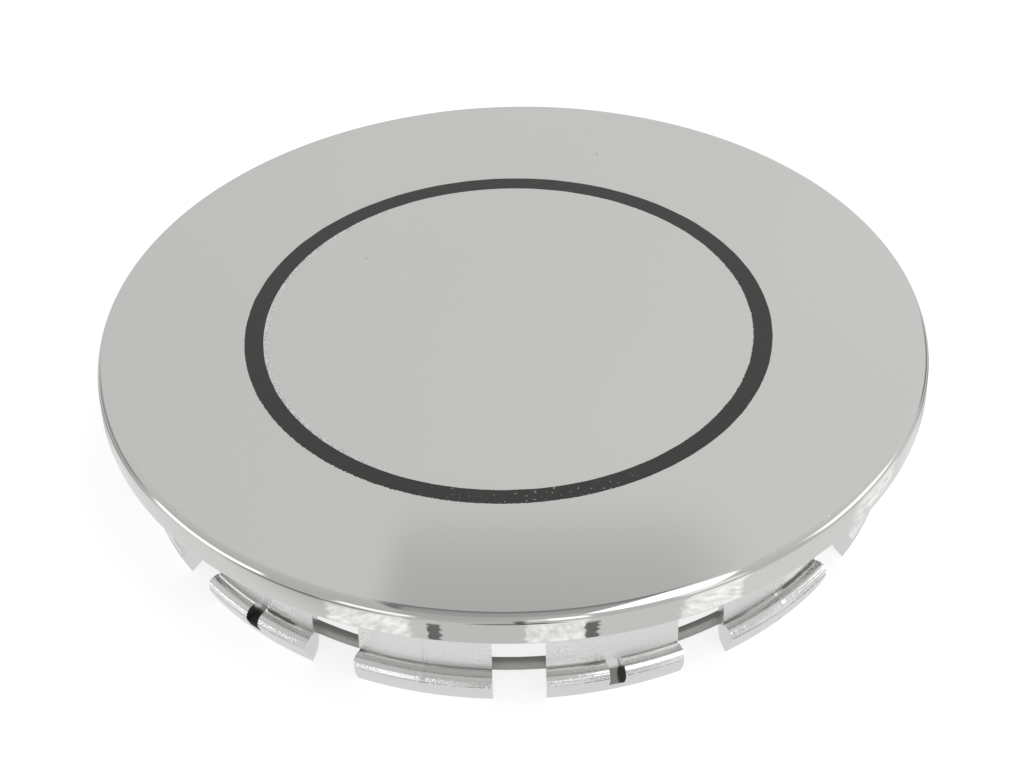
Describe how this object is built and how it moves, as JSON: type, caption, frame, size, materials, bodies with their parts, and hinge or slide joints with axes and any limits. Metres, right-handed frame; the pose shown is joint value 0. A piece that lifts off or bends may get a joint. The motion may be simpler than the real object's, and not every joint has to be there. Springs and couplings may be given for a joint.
{
  "type": "wheel centre cap",
  "caption": "Flat round chromed wheel centre cap with a dark painted ring on its face, spring clips under the rim and a wire retaining ring behind them.",
  "frame": {"origin": "on the cap's axis at the plane of the clip tips, where it stands face up", "axes": "+Z along the axis towards the outer face; -Y faces the front, where a gap lies between two clips"},
  "size_m": [0.083, 0.083, 0.0147],
  "materials": {
    "chrome_plate": "bright chrome plate on moulded plastic",
    "ring_paint": "satin dark grey paint",
    "spring_wire": "drawn steel wire"
  },
  "bodies": {
    "root": {"cap_body": "chrome_plate", "painted_ring": "ring_paint", "retaining_ring": "spring_wire"}
  },
  "joints": []
}
